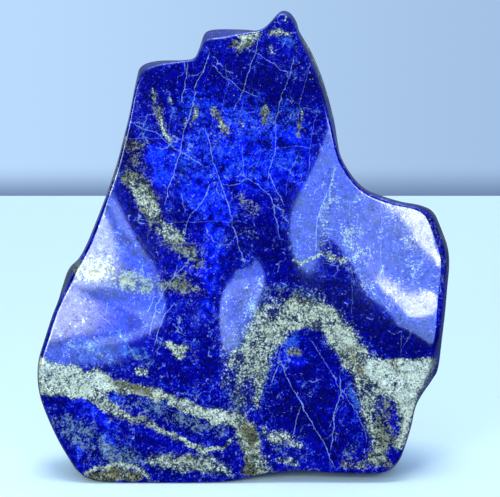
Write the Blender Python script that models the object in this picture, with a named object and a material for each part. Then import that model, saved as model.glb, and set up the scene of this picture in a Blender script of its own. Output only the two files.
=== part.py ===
"""A polished freeform of lapis lazuli, standing upright on its sawn base.

The stone is a thick slab with a free outline. Its front and back are polished faces with a few
shallow hollows and slopes, a narrow rim runs all the way round between them, and the foot is
sawn flat so that the slab stands, leaning back a little. Metres, +Z up, the front faces -Y.
The origin is in the middle of the foot, on the surface that the stone stands on.
"""
import math

import bmesh
import bpy
import numpy as np

MM = 0.001

# Driving dimensions
FOOT_HALF = 20 * MM           # front or back edge to the girdle, at the foot
CROWN_HALF = 12 * MM          # the same at the top of the stone
TALL = 199 * MM               # height of the outline along the slab
TAPER = 2.2                   # share by which the sides draw in per metre of depth
LEAN = math.radians(5)        # how far the slab leans back
SAW_HEIGHT = 6.3 * MM         # height of the saw cut above the outline's lowest point
EYE = (3 * MM, 99 * MM)       # middle of the outline, towards which the sides draw in
HUB = (-1 * MM, 78 * MM)      # middle of the mesh's rays, from which the outline is all in view
BACK_INSET = 6 * MM           # the back edge lies this far inside the girdle
FOOT_INSET = 0.5 * MM         # the same along the foot
BACK_ROLL = 9 * MM            # rounding of the back edge
FOOT_ROLL = 3 * MM            # the same along the foot, where the saw cut it short
FOOT_REACH = 30 * MM          # height over which these two grow to their full size
GIRDLE_ROLL = 3 * MM          # rounding of the rim at the girdle

# Mesh fineness
RAYS = 140
FACE_RINGS = 11
EDGE_STEPS = 3

# The girdle, clockwise from the left shoulder, in millimetres: across, up along the slab, how
# far the front edge lies inside it, and how softly the front face rolls over that edge.
GIRDLE = (
    (-44.5, 172.5, 1.7, 1.2), (-43.5, 175.5, 2.7, 1.2), (-40.5, 177.5, 2.6, 1.2),
    (-34.5, 178.5, 1.7, 1.2), (-25.0, 178.5, 0.4, 1.2), (-20.5, 179.5, 0.5, 1.2),
    (-18.5, 183.5, 1.6, 1.2), (-16.5, 189.5, 3.4, 1.2), (-14.0, 191.5, 4.2, 1.2),
    (-8.0, 192.0, 4.0, 1.2), (1.0, 191.5, 1.6, 1.2), (6.0, 191.0, 0.4, 1.2),
    (10.0, 193.0, 0.4, 1.2), (14.5, 198.0, 1.2, 1.2), (17.0, 199.5, 1.6, 1.2),
    (20.0, 198.5, 2.2, 1.2), (22.5, 195.0, 2.4, 1.2), (24.0, 190.5, 2.5, 1.2),
    (28.5, 183.0, 3.5, 1.5), (32.5, 174.0, 3.6, 1.5), (35.5, 165.0, 3.4, 1.5),
    (38.5, 153.5, 3.0, 1.5), (40.0, 144.0, 1.6, 1.5), (41.5, 137.5, 0.7, 1.5),
    (46.0, 130.0, 0.7, 1.5), (51.5, 124.5, 0.7, 1.5), (58.5, 121.5, 0.8, 2.0),
    (67.0, 119.0, 1.0, 2.0), (75.0, 117.5, 1.3, 2.0), (80.5, 114.5, 1.5, 2.2),
    (84.0, 107.0, 1.5, 2.4), (86.5, 99.5, 1.5, 2.4), (87.0, 92.0, 1.3, 2.4),
    (86.2, 83.0, 1.2, 2.4), (85.2, 72.0, 1.3, 2.2), (84.0, 62.0, 1.5, 1.8),
    (82.5, 49.0, 4.0, 1.2), (80.0, 44.0, 3.3, 1.2), (75.0, 37.0, 1.4, 1.2),
    (72.5, 32.0, 0.5, 1.2), (70.7, 24.0, 0.5, 1.2), (68.2, 16.0, 0.5, 1.2),
    (66.0, 10.5, 0.5, 1.5), (62.5, 6.5, 0.5, 1.5), (57.0, 4.5, 0.4, 1.5),
    (40.0, 4.5, 0.4, 1.5), (24.0, 5.5, 0.4, 1.5), (10.0, 4.2, 0.4, 1.5),
    (-5.5, 1.0, 0.4, 1.5), (-20.0, 0.0, 0.4, 1.5), (-40.0, 0.0, 0.4, 1.5),
    (-57.0, 0.5, 0.5, 1.5), (-65.0, 2.0, 0.6, 1.5), (-69.0, 4.5, 0.7, 1.5),
    (-74.0, 12.0, 0.6, 1.5), (-78.5, 20.0, 0.6, 1.5), (-83.0, 30.0, 0.6, 1.5),
    (-85.5, 37.5, 0.6, 1.5), (-86.5, 45.0, 0.6, 1.5), (-86.0, 52.5, 0.6, 1.5),
    (-84.0, 59.5, 0.6, 1.5), (-80.5, 70.5, 0.5, 1.2), (-78.0, 77.0, 0.5, 1.2),
    (-76.0, 84.5, 2.2, 1.2), (-73.5, 91.0, 2.5, 1.2), (-69.0, 95.5, 0.6, 1.2),
    (-65.5, 102.0, 0.6, 1.2), (-61.0, 113.0, 0.6, 1.2), (-57.0, 123.5, 0.6, 1.2),
    (-53.0, 135.5, 0.6, 1.2), (-50.5, 145.0, 0.6, 1.2), (-48.0, 155.0, 0.6, 1.2),
    (-46.0, 165.0, 0.6, 1.2),
)

# Ground slopes. Each has two lines, given by two points in millimetres, and a fall. The face
# falls towards the girdle over the part to the right of both walks, first point to second.
FRONT_SLOPES = (
    (((15.0, 104.0), (32.0, 144.0)), ((70.0, 64.0), (45.0, 91.0)), 0.125),
    (((-57.0, 121.0), (-35.0, 87.0)), ((-56.0, 60.0), (-83.0, 56.0)), 0.17),
)
BACK_SLOPES = (
    (((-30.0, 60.0), (-46.0, 0.0)), ((-52.0, 130.0), (-30.0, 60.0)), -0.22),
    (((34.0, 120.0), (22.0, 199.0)), ((90.0, 100.0), (34.0, 120.0)), -0.24),
    (((60.0, 0.0), (44.0, 60.0)), ((44.0, 60.0), (90.0, 92.0)), -0.20),
    (((30.0, 188.0), (-60.0, 140.0)), ((0.0, 140.0), (-60.0, 140.0)), -0.16),
)
FOLD_SOFTNESS = 4 * MM
CORNER_SOFTNESS = 12 * MM

# Hollows and swells, front then back: across, up, reach across, reach up, depth (all mm).
FRONT_HOLLOWS = (
    (-14.0, 78.0, 10.0, 28.0, 2.0),     # thumb hollow in the middle, in three shallow dips
    (-4.0, 80.0, 12.0, 26.0, 1.3),
    (0.0, 89.0, 10.0, 9.0, 0.7),
    (51.0, 98.0, 20.0, 28.0, 1.5),      # scoop of the right lobe, with a low swell at its rim
    (31.0, 106.0, 14.0, 26.0, 1.2),
    (66.0, 83.0, 14.0, 8.0, 0.4),
    (87.0, 93.0, 12.0, 9.0, -0.6),
    (-37.0, 140.0, 32.0, 30.0, 1.0),    # wide dip under the left shoulder
    (-36.0, 94.0, 16.0, 30.0, 0.6),
)
BACK_HOLLOWS = (
    (-30.0, 60.0, 44.0, 40.0, -3.0),
    (40.0, 70.0, 36.0, 34.0, -1.5),
    (0.0, 140.0, 30.0, 40.0, -2.0),
    (5.0, 95.0, 16.0, 26.0, 2.0),
)


def closed_curve(points, count):
    """Even samples of the smooth closed curve through the points.

    Each span is the cubic that leaves one point and reaches the next along the lines that join
    their own neighbours (Catmull-Rom), so the curve passes through every point given.
    """
    points = np.asarray(points, dtype=float)
    before = np.roll(points, 1, axis=0)
    after = np.roll(points, -1, axis=0)
    later = np.roll(points, -2, axis=0)
    fine = 16
    step = (np.arange(fine) / fine)[None, :, None]
    p0, p1, p2, p3 = (p[:, None, :] for p in (before, points, after, later))
    curve = 0.5 * (2 * p1 + (p2 - p0) * step
                   + (2 * p0 - 5 * p1 + 4 * p2 - p3) * step ** 2
                   + (3 * p1 - p0 - 3 * p2 + p3) * step ** 3)
    curve = curve.reshape(-1, points.shape[1])
    ring = np.vstack([curve, curve[:1]])
    walked = np.concatenate([[0], np.cumsum(np.hypot(*np.diff(ring[:, :2], axis=0).T))])
    wanted = np.arange(count) / count * walked[-1]
    return np.stack([np.interp(wanted, walked, ring[:, k]) for k in range(ring.shape[1])], axis=1)


def soft_ramp(x, softness):
    """Zero before a fold, x after it, with the crease rounded over about the softness."""
    return 0.5 * (x + np.sqrt(x * x + softness * softness))


def past(line, across, up):
    """Distance to the right of the walk along a line given in millimetres."""
    (x0, z0), (x1, z1) = line
    length = math.hypot(x1 - x0, z1 - z0)
    return ((across - x0 * MM) * (z1 - z0) - (up - z0 * MM) * (x1 - x0)) / length


def smaller(a, b, softness):
    """The smaller of two distances, with the corner between them rounded."""
    return 0.5 * (a + b - np.sqrt((a - b) ** 2 + softness * softness))


def hollows(table, across, up):
    """Sum of round hollows, each a bell-shaped dip; a negative depth is a swell."""
    depth = np.zeros_like(across)
    for x, z, reach_x, reach_z, deep in table:
        far = ((across - x * MM) / (reach_x * MM)) ** 2 + ((up - z * MM) / (reach_z * MM)) ** 2
        depth += deep * MM * np.exp(-far)
    return depth


def half_thickness(up):
    """Half the slab's thickness, thinning evenly from the foot to the top."""
    return FOOT_HALF + (CROWN_HALF - FOOT_HALF) * up / TALL


def slopes(table, across, up):
    """Sum of ground slopes, each a ramp that starts from the nearer of its two lines."""
    fall = np.zeros_like(across)
    for fold, floor, steepness in table:
        inside = smaller(past(fold, across, up), past(floor, across, up), CORNER_SOFTNESS)
        fall += steepness * soft_ramp(inside, FOLD_SOFTNESS)
    return fall


def front_depth(across, up):
    """Where the front face lies, towards -Y of the girdle."""
    return (-half_thickness(up) + slopes(FRONT_SLOPES, across, up)
            + hollows(FRONT_HOLLOWS, across, up))


def back_depth(across, up):
    """Where the back face lies, behind the girdle."""
    return (half_thickness(up) + slopes(BACK_SLOPES, across, up)
            - hollows(BACK_HOLLOWS, across, up))


def corner(before, middle, after, roll, steps):
    """Points round a corner: a quadratic curve that starts and ends one roll from the corner."""
    def towards(target):
        leg = target - middle
        reach = np.linalg.norm(leg, axis=1, keepdims=True)
        return middle + leg * np.minimum(roll / reach, 0.5)
    start, end = towards(before), towards(after)
    rows = []
    for k in range(steps + 1):
        t = k / steps
        rows.append((1 - t) ** 2 * start + 2 * t * (1 - t) * middle + t ** 2 * end)
    return rows


def stone_rings():
    """Rings of points from the middle of the front, over the rim, to the middle of the back."""
    samples = closed_curve(GIRDLE, RAYS) * MM
    hub = np.array(HUB)
    girdle = samples[:, :2]
    lip = samples[:, 2:3]
    roll = samples[:, 3:4]
    outward = (girdle - hub) / np.linalg.norm(girdle - hub, axis=1, keepdims=True)

    def at(plan, depth):
        return np.column_stack([plan[:, 0], depth, plan[:, 1]])

    ahead = half_thickness(girdle[:, 1:2])
    eye = np.array(EYE)
    face = eye + (girdle - lip * outward - eye) * (1 - TAPER * ahead)
    above_foot = np.clip(girdle[:, 1:2] / FOOT_REACH, 0, 1)
    back_inset = FOOT_INSET + (BACK_INSET - FOOT_INSET) * above_foot
    back_roll = FOOT_ROLL + (BACK_ROLL - FOOT_ROLL) * above_foot
    rear = girdle - back_inset * outward
    front_edge = at(face, front_depth(face[:, 0], face[:, 1]))
    back_edge = at(rear, back_depth(rear[:, 0], rear[:, 1]))
    middle = at(girdle, np.zeros(RAYS))

    inner = face - 2 * roll * outward
    front_inner = at(inner, front_depth(inner[:, 0], inner[:, 1]))
    inner = rear - 2 * back_roll * outward
    back_inner = at(inner, back_depth(inner[:, 0], inner[:, 1]))
    rim = corner(front_inner, front_edge, middle, roll, EDGE_STEPS)
    rim += corner(front_edge, middle, back_edge, GIRDLE_ROLL, EDGE_STEPS)
    rim += corner(middle, back_edge, back_inner, back_roll, EDGE_STEPS)

    def disc(edge, depth):
        for share in np.arange(1, FACE_RINGS) / FACE_RINGS:
            plan = hub + (edge - hub) * share
            yield at(plan, depth(plan[:, 0], plan[:, 1]))
    front = list(disc(rim[0][:, [0, 2]], front_depth))
    back = list(disc(rim[-1][:, [0, 2]], back_depth))
    return front + rim + back[::-1]


def stone_mesh():
    """One closed skin over the rings, with a point in the middle of each face."""
    rings = stone_rings()
    hub_x, hub_z = HUB
    centre = np.array([hub_x]), np.array([hub_z])
    tips = [[(hub_x, depth(*centre)[0], hub_z)] for depth in (front_depth, back_depth)]
    points = np.vstack([tips[0]] + rings + [tips[1]])
    faces = []
    for k in range(RAYS):
        along = (k + 1) % RAYS
        faces.append((0, 1 + along, 1 + k))
        for ring in range(len(rings) - 1):
            low = 1 + ring * RAYS
            high = low + RAYS
            faces.append((low + k, low + along, high + along, high + k))
        last = 1 + (len(rings) - 1) * RAYS
        faces.append((len(points) - 1, last + k, last + along))
    mesh = bpy.data.meshes.new("lapis_stone")
    mesh.from_pydata(points.tolist(), [], faces)
    return mesh


def saw_foot(mesh):
    """Lean the slab back, saw it off level, and set the cut on the ground under its middle."""
    bm = bmesh.new()
    bm.from_mesh(mesh)
    bmesh.ops.triangulate(bm, faces=bm.faces[:])
    for vert in bm.verts:
        x, y, z = vert.co
        vert.co = (x, y * math.cos(LEAN) + z * math.sin(LEAN),
                   z * math.cos(LEAN) - y * math.sin(LEAN) - SAW_HEIGHT)
    everything = bm.verts[:] + bm.edges[:] + bm.faces[:]
    bmesh.ops.bisect_plane(bm, geom=everything, dist=1e-6, plane_co=(0, 0, 0),
                           plane_no=(0, 0, -1), clear_outer=True)
    rim = [edge for edge in bm.edges if edge.is_boundary]
    bmesh.ops.contextual_create(bm, geom=rim)
    bmesh.ops.recalc_face_normals(bm, faces=bm.faces[:])
    bm.to_mesh(mesh)
    bm.free()
    low = np.array([vert.co for vert in mesh.vertices]).min(axis=0)
    high = np.array([vert.co for vert in mesh.vertices]).max(axis=0)
    shift = -(low + high) / 2
    shift[2] = 0
    for vert in mesh.vertices:
        vert.co.x += shift[0]
        vert.co.y += shift[1]


def lapis_material():
    """Polished lapis: deep ultramarine, glossy, no metal."""
    material = bpy.data.materials.new("polished_lapis")
    material.use_nodes = True
    shader = material.node_tree.nodes["Principled BSDF"]
    shader.inputs["Base Color"].default_value = (0.01, 0.02, 0.45, 1)
    shader.inputs["Roughness"].default_value = 0.12
    shader.inputs["Metallic"].default_value = 0
    return material


def main():
    for old in list(bpy.data.objects):
        bpy.data.objects.remove(old, do_unlink=True)
    collection = bpy.data.collections.new("Lapis lazuli freeform")
    bpy.context.scene.collection.children.link(collection)
    mesh = stone_mesh()
    saw_foot(mesh)
    mesh.materials.append(lapis_material())
    stone = bpy.data.objects.new("lapis_stone", mesh)
    collection.objects.link(stone)
    mesh.shade_smooth()
    mesh.set_sharp_from_angle(angle=math.radians(40))


main()
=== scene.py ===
# %% [markdown]
# # A polished freeform of lapis lazuli
#
# The real thing is a thick slab of lapis lazuli, about 19 cm tall, ground to a free outline,
# polished all over and sawn flat underneath so that it stands. Its blue is lazurite, its pale
# bands and threads are calcite, its gold specks are pyrite. It is one piece of rock, so it is
# one mesh here. What makes it hard to build is not the number of parts but the surface: broad
# shallow hollows that bend every reflection, and a pattern that has to look grown.
#
# The lesson first shapes the slab as a surface of two parameters, then draws the map of its
# bands and veins, then turns that map into rock in one material, and last sets up the studio.

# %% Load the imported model, which this mesh stands for
import math

import bpy
import numpy as np
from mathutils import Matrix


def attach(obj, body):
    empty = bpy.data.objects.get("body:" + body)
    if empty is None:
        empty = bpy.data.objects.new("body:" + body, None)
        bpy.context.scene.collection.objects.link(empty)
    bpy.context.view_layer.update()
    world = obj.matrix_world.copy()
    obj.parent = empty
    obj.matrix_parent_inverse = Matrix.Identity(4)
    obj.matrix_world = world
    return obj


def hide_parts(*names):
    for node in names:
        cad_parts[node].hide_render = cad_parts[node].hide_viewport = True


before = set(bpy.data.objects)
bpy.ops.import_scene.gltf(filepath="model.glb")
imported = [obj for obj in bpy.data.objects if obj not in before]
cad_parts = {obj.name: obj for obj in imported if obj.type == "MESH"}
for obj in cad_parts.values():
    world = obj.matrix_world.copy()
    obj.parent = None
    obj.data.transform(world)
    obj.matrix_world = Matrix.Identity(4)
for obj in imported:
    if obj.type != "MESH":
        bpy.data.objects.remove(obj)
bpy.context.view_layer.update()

# %% [markdown]
# ## The sizes of the slab
#
# The slab is measured lying against its own plane: across, and up along the slab. Depth is
# counted from the girdle, the widest line round the rim. The slab thins towards the top, its
# sides draw in towards both faces, and the whole stone leans back a little on its sawn foot.

# %% Sizes, in metres and radians
MM = 0.001
FOOT_HALF = 20 * MM           # front or back edge to the girdle, at the foot
CROWN_HALF = 12 * MM          # the same at the top of the stone
TALL = 199 * MM               # height of the outline along the slab
TAPER = 2.2                   # share by which the sides draw in per metre of depth
LEAN = math.radians(5)        # how far the slab leans back
SAW_HEIGHT = 6.3 * MM         # height of the saw cut above the outline's lowest point
SAW_ROUND = 0.6 * MM          # rounding of the edge that the saw cut leaves
EYE = (3 * MM, 99 * MM)       # middle of the outline, towards which the sides draw in
HUB = (-1 * MM, 78 * MM)      # middle of the mesh's rays, from which the outline is all in view
BACK_INSET = 6 * MM           # the back edge lies this far inside the girdle
FOOT_INSET = 0.5 * MM         # the same along the foot
BACK_ROLL = 9 * MM            # rounding of the back edge
FOOT_ROLL = 3 * MM            # the same along the foot
FOOT_REACH = 30 * MM          # height over which these two grow to their full size
GIRDLE_ROLL = 3 * MM          # rounding of the rim at the girdle
FOLD_SOFTNESS = 4 * MM        # how softly a ground slope begins
CORNER_SOFTNESS = 12 * MM     # how softly the two lines that bound it run into each other
SNUG = 0.999                  # this mesh is finer than the solid and is kept just inside it
print("slab", TALL / MM, "mm tall,", 2 * FOOT_HALF / MM, "mm thick at the foot")

# %% [markdown]
# ## The outline
#
# The girdle goes round clockwise from the left shoulder. Each row gives a point across and up,
# then how far the front edge lies inside it, and how softly the front face rolls over that
# edge, all in millimetres. The same rows are in the solid, so the two outlines agree.

# %% The girdle
GIRDLE = (
    (-44.5, 172.5, 1.7, 1.2), (-43.5, 175.5, 2.7, 1.2), (-40.5, 177.5, 2.6, 1.2),
    (-34.5, 178.5, 1.7, 1.2), (-25.0, 178.5, 0.4, 1.2), (-20.5, 179.5, 0.5, 1.2),
    (-18.5, 183.5, 1.6, 1.2), (-16.5, 189.5, 3.4, 1.2), (-14.0, 191.5, 4.2, 1.2),
    (-8.0, 192.0, 4.0, 1.2), (1.0, 191.5, 1.6, 1.2), (6.0, 191.0, 0.4, 1.2),
    (10.0, 193.0, 0.4, 1.2), (14.5, 198.0, 1.2, 1.2), (17.0, 199.5, 1.6, 1.2),
    (20.0, 198.5, 2.2, 1.2), (22.5, 195.0, 2.4, 1.2), (24.0, 190.5, 2.5, 1.2),
    (28.5, 183.0, 3.5, 1.5), (32.5, 174.0, 3.6, 1.5), (35.5, 165.0, 3.4, 1.5),
    (38.5, 153.5, 3.0, 1.5), (40.0, 144.0, 1.6, 1.5), (41.5, 137.5, 0.7, 1.5),
    (46.0, 130.0, 0.7, 1.5), (51.5, 124.5, 0.7, 1.5), (58.5, 121.5, 0.8, 2.0),
    (67.0, 119.0, 1.0, 2.0), (75.0, 117.5, 1.3, 2.0), (80.5, 114.5, 1.5, 2.2),
    (84.0, 107.0, 1.5, 2.4), (86.5, 99.5, 1.5, 2.4), (87.0, 92.0, 1.3, 2.4),
    (86.2, 83.0, 1.2, 2.4), (85.2, 72.0, 1.3, 2.2), (84.0, 62.0, 1.5, 1.8),
    (82.5, 49.0, 4.0, 1.2), (80.0, 44.0, 3.3, 1.2), (75.0, 37.0, 1.4, 1.2),
    (72.5, 32.0, 0.5, 1.2), (70.7, 24.0, 0.5, 1.2), (68.2, 16.0, 0.5, 1.2),
    (66.0, 10.5, 0.5, 1.5), (62.5, 6.5, 0.5, 1.5), (57.0, 4.5, 0.4, 1.5),
    (40.0, 4.5, 0.4, 1.5), (24.0, 5.5, 0.4, 1.5), (10.0, 4.2, 0.4, 1.5),
    (-5.5, 1.0, 0.4, 1.5), (-20.0, 0.0, 0.4, 1.5), (-40.0, 0.0, 0.4, 1.5),
    (-57.0, 0.5, 0.5, 1.5), (-65.0, 2.0, 0.6, 1.5), (-69.0, 4.5, 0.7, 1.5),
    (-74.0, 12.0, 0.6, 1.5), (-78.5, 20.0, 0.6, 1.5), (-83.0, 30.0, 0.6, 1.5),
    (-85.5, 37.5, 0.6, 1.5), (-86.5, 45.0, 0.6, 1.5), (-86.0, 52.5, 0.6, 1.5),
    (-84.0, 59.5, 0.6, 1.5), (-80.5, 70.5, 0.5, 1.2), (-78.0, 77.0, 0.5, 1.2),
    (-76.0, 84.5, 2.2, 1.2), (-73.5, 91.0, 2.5, 1.2), (-69.0, 95.5, 0.6, 1.2),
    (-65.5, 102.0, 0.6, 1.2), (-61.0, 113.0, 0.6, 1.2), (-57.0, 123.5, 0.6, 1.2),
    (-53.0, 135.5, 0.6, 1.2), (-50.5, 145.0, 0.6, 1.2), (-48.0, 155.0, 0.6, 1.2),
    (-46.0, 165.0, 0.6, 1.2),
)


def closed_curve(points, count):
    """Even samples of the smooth closed curve through the points.

    Between two points runs the cubic whose direction at each of them is that of the line
    between that point's neighbours (Catmull-Rom). Lengths along it are then made even.
    """
    points = np.asarray(points, dtype=float)
    before = np.roll(points, 1, axis=0)
    after = np.roll(points, -1, axis=0)
    later = np.roll(points, -2, axis=0)
    fine = 16
    step = (np.arange(fine) / fine)[None, :, None]
    p0, p1, p2, p3 = (p[:, None, :] for p in (before, points, after, later))
    curve = 0.5 * (2 * p1 + (p2 - p0) * step
                   + (2 * p0 - 5 * p1 + 4 * p2 - p3) * step ** 2
                   + (3 * p1 - p0 - 3 * p2 + p3) * step ** 3)
    curve = curve.reshape(-1, points.shape[1])
    ring = np.vstack([curve, curve[:1]])
    walked = np.concatenate([[0], np.cumsum(np.hypot(*np.diff(ring[:, :2], axis=0).T))])
    wanted = np.arange(count) / count * walked[-1]
    return np.stack([np.interp(wanted, walked, ring[:, k]) for k in range(ring.shape[1])], axis=1)


print("girdle:", len(GIRDLE), "points")

# %% [markdown]
# ## The two polished faces
#
# A polisher leans the stone against a wheel, so the faces are never quite flat. Two ground
# slopes and a few bell-shaped dips are enough to give the front its scooped right lobe, its
# thumb hollow and its dished left side. They are shallow, three millimetres at most, and hardly
# show as shape: they show as the lamp reflections that they bend.

# %% Slopes and hollows, in millimetres
FRONT_SLOPES = (
    (((15.0, 104.0), (32.0, 144.0)), ((70.0, 64.0), (45.0, 91.0)), 0.125),
    (((-57.0, 121.0), (-35.0, 87.0)), ((-56.0, 60.0), (-83.0, 56.0)), 0.17),
)
BACK_SLOPES = (
    (((-30.0, 60.0), (-46.0, 0.0)), ((-52.0, 130.0), (-30.0, 60.0)), -0.22),
    (((34.0, 120.0), (22.0, 199.0)), ((90.0, 100.0), (34.0, 120.0)), -0.24),
    (((60.0, 0.0), (44.0, 60.0)), ((44.0, 60.0), (90.0, 92.0)), -0.20),
    (((30.0, 188.0), (-60.0, 140.0)), ((0.0, 140.0), (-60.0, 140.0)), -0.16),
)
FRONT_HOLLOWS = (
    (-14.0, 78.0, 10.0, 28.0, 2.0),     # thumb hollow in the middle, in three shallow dips
    (-4.0, 80.0, 12.0, 26.0, 1.3),
    (0.0, 89.0, 10.0, 9.0, 0.7),
    (51.0, 98.0, 20.0, 28.0, 1.5),      # scoop of the right lobe, with a low swell at its rim
    (31.0, 106.0, 14.0, 26.0, 1.2),
    (66.0, 83.0, 14.0, 8.0, 0.4),
    (87.0, 93.0, 12.0, 9.0, -0.6),
    (-37.0, 140.0, 32.0, 30.0, 1.0),    # wide dip under the left shoulder
    (-36.0, 94.0, 16.0, 30.0, 0.6),
)
BACK_HOLLOWS = (
    (-30.0, 60.0, 44.0, 40.0, -3.0),
    (40.0, 70.0, 36.0, 34.0, -1.5),
    (0.0, 140.0, 30.0, 40.0, -2.0),
    (5.0, 95.0, 16.0, 26.0, 2.0),
)


def soft_ramp(x, softness):
    """Zero before a fold, x after it: half of x plus the root of x squared plus softness squared."""
    return 0.5 * (x + np.sqrt(x * x + softness * softness))


def past(line, across, up):
    """Distance to the right of the walk along a line: the cross product with its direction."""
    (x0, z0), (x1, z1) = line
    length = math.hypot(x1 - x0, z1 - z0)
    return ((across - x0 * MM) * (z1 - z0) - (up - z0 * MM) * (x1 - x0)) / length


def slopes(table, across, up):
    """Sum of ground slopes: steepness times a soft ramp of the smaller of two line distances."""
    fall = np.zeros_like(across)
    for fold, floor_line, steepness in table:
        a = past(fold, across, up)
        b = past(floor_line, across, up)
        inside = 0.5 * (a + b - np.sqrt((a - b) ** 2 + CORNER_SOFTNESS ** 2))
        fall += steepness * soft_ramp(inside, FOLD_SOFTNESS)
    return fall


def hollows(table, across, up):
    """Sum of dips: depth times e to the minus of the squared distance in units of the reach."""
    depth = np.zeros_like(across)
    for x, z, reach_x, reach_z, deep in table:
        far = ((across - x * MM) / (reach_x * MM)) ** 2 + ((up - z * MM) / (reach_z * MM)) ** 2
        depth += deep * MM * np.exp(-far)
    return depth


def half_thickness(up):
    """Half the slab's thickness: a straight line from the foot's value to the crown's."""
    return FOOT_HALF + (CROWN_HALF - FOOT_HALF) * up / TALL


def front_depth(across, up):
    """Depth of the front face: minus half the thickness, plus slopes, plus hollows."""
    return (-half_thickness(up) + slopes(FRONT_SLOPES, across, up)
            + hollows(FRONT_HOLLOWS, across, up))


def back_depth(across, up):
    """Depth of the back face: half the thickness, plus slopes, minus hollows."""
    return (half_thickness(up) + slopes(BACK_SLOPES, across, up)
            - hollows(BACK_HOLLOWS, across, up))


spot = np.array([EYE[0]]), np.array([EYE[1]])
print("thickness in the middle: %.1f mm" % ((back_depth(*spot) - front_depth(*spot))[0] / MM))

# %% [markdown]
# ## From outline to surface
#
# The surface has two parameters. One runs round the girdle, the other runs from the middle of
# the front, over the rim, to the middle of the back. A slab could also be extruded and
# bevelled, but then the rim would be the same everywhere. Here each ray has its own lip and
# roll, so the rim can be narrow at the top step and full at the right lobe.

# %% The grid of points
RAYS = 560
FACE_RINGS = 96
BACK_RINGS = 36
EDGE_STEPS = 10


def corner(before, middle, after, roll, steps):
    """A rounded corner: the quadratic curve that starts and ends one roll from the middle."""
    def towards(target):
        """The place one roll along the leg to the target, or halfway if that is nearer."""
        leg = target - middle
        reach = np.linalg.norm(leg, axis=1, keepdims=True)
        return middle + leg * np.minimum(roll / reach, 0.5)
    start, end = towards(before), towards(after)
    t = (np.arange(steps + 1) / steps)[:, None, None]
    return (1 - t) ** 2 * start + 2 * t * (1 - t) * middle + t ** 2 * end


def stone_grid(rays):
    """Rings by rays of points on the slab: front disc, three rounded corners, back disc.

    A disc ring is the hub plus a share of the way to the edge, at the depth of its face.
    """
    samples = closed_curve(GIRDLE, rays) * MM
    hub = np.array(HUB)
    girdle = samples[:, :2]
    lip = samples[:, 2:3]
    roll = samples[:, 3:4]
    outward = (girdle - hub) / np.linalg.norm(girdle - hub, axis=1, keepdims=True)

    def at(plan, depth):
        return np.stack([plan[..., 0], depth, plan[..., 1]], axis=-1)

    def on(face, plan):
        return at(plan, face(plan[..., 0], plan[..., 1]))

    ahead = half_thickness(girdle[:, 1:2])
    eye = np.array(EYE)
    face_edge = eye + (girdle - lip * outward - eye) * (1 - TAPER * ahead)
    above_foot = np.clip(girdle[:, 1:2] / FOOT_REACH, 0, 1)
    back_inset = FOOT_INSET + (BACK_INSET - FOOT_INSET) * above_foot
    back_roll = FOOT_ROLL + (BACK_ROLL - FOOT_ROLL) * above_foot
    rear_edge = girdle - back_inset * outward
    front_edge = on(front_depth, face_edge)
    back_edge = on(back_depth, rear_edge)
    middle = at(girdle, np.zeros(rays))
    front_inner = on(front_depth, face_edge - 2 * roll * outward)
    back_inner = on(back_depth, rear_edge - 2 * back_roll * outward)
    rim = np.concatenate([
        corner(front_inner, front_edge, middle, roll, EDGE_STEPS),
        corner(front_edge, middle, back_edge, GIRDLE_ROLL, EDGE_STEPS),
        corner(middle, back_edge, back_inner, back_roll, EDGE_STEPS),
    ])

    def disc(edge, face, rings):
        share = (np.arange(1, rings) / rings)[:, None, None]
        return on(face, hub + (edge[None, :, [0, 2]] - hub) * share)

    return np.concatenate([disc(rim[0], front_depth, FACE_RINGS), rim,
                           disc(rim[-1], back_depth, BACK_RINGS)[::-1]])


grid = stone_grid(RAYS)
tips = np.array([[HUB[0], face(np.array([HUB[0]]), np.array([HUB[1]]))[0], HUB[1]]
                 for face in (front_depth, back_depth)])
slab = np.vstack([tips[:1], grid.reshape(-1, 3), tips[1:]])
print("grid:", grid.shape[0], "rings of", grid.shape[1], "points")

# %% [markdown]
# ## Standing up
#
# The slab is turned back by its lean and lowered by the height of the saw cut. Everything that
# would then be under the table is pressed up into the table's surface by a soft ramp, which
# leaves a flat foot with a slightly rounded edge, as a diamond saw and a pass of fine paper do.

# %% Lean, saw and centre


def stood_up(points):
    """Rotate by the lean, drop by the saw height, and keep the height above zero by a soft ramp."""
    across, depth, up = points.T
    y = depth * math.cos(LEAN) + up * math.sin(LEAN)
    z = up * math.cos(LEAN) - depth * math.sin(LEAN) - SAW_HEIGHT
    return np.stack([across, y, soft_ramp(z, SAW_ROUND)], axis=1)


stone = stood_up(slab)
above = stone[stone[:, 2] > SAW_ROUND]
shift = -(above.min(axis=0) + above.max(axis=0)) / 2
shift[2] = 0
stone = (stone + shift) * SNUG
print("moved by", np.round(shift / MM, 3), "mm to centre it on its foot")

# %% [markdown]
# ## One closed skin
#
# Two fans close the grid at the middles of the front and the back. The mesh is written in one
# go from arrays, because a loop over a hundred thousand points would take minutes.

# %% The mesh


def skin(name, points, rings, rays):
    """A closed mesh over a grid of rings, with a point at each end closed by a fan."""
    k = np.arange(rays)
    along = (k + 1) % rays
    low = (1 + np.arange(rings - 1) * rays)[:, None]
    quads = np.stack([low + k, low + along, low + rays + along, low + rays + k], axis=-1)
    last = 1 + (rings - 1) * rays
    front_fan = np.stack([np.zeros(rays, int), 1 + along, 1 + k], axis=1)
    back_fan = np.stack([np.full(rays, len(points) - 1), last + k, last + along], axis=1)
    mesh = bpy.data.meshes.new(name)
    faces = quads.reshape(-1, 4).tolist() + front_fan.tolist() + back_fan.tolist()
    mesh.from_pydata(points.tolist(), [], faces)
    mesh.shade_smooth()
    return mesh


def put(name, data):
    """Put a mesh, a light or a camera into the scene."""
    thing = bpy.data.objects.new(name, data)
    bpy.context.scene.collection.objects.link(thing)
    return thing


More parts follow.
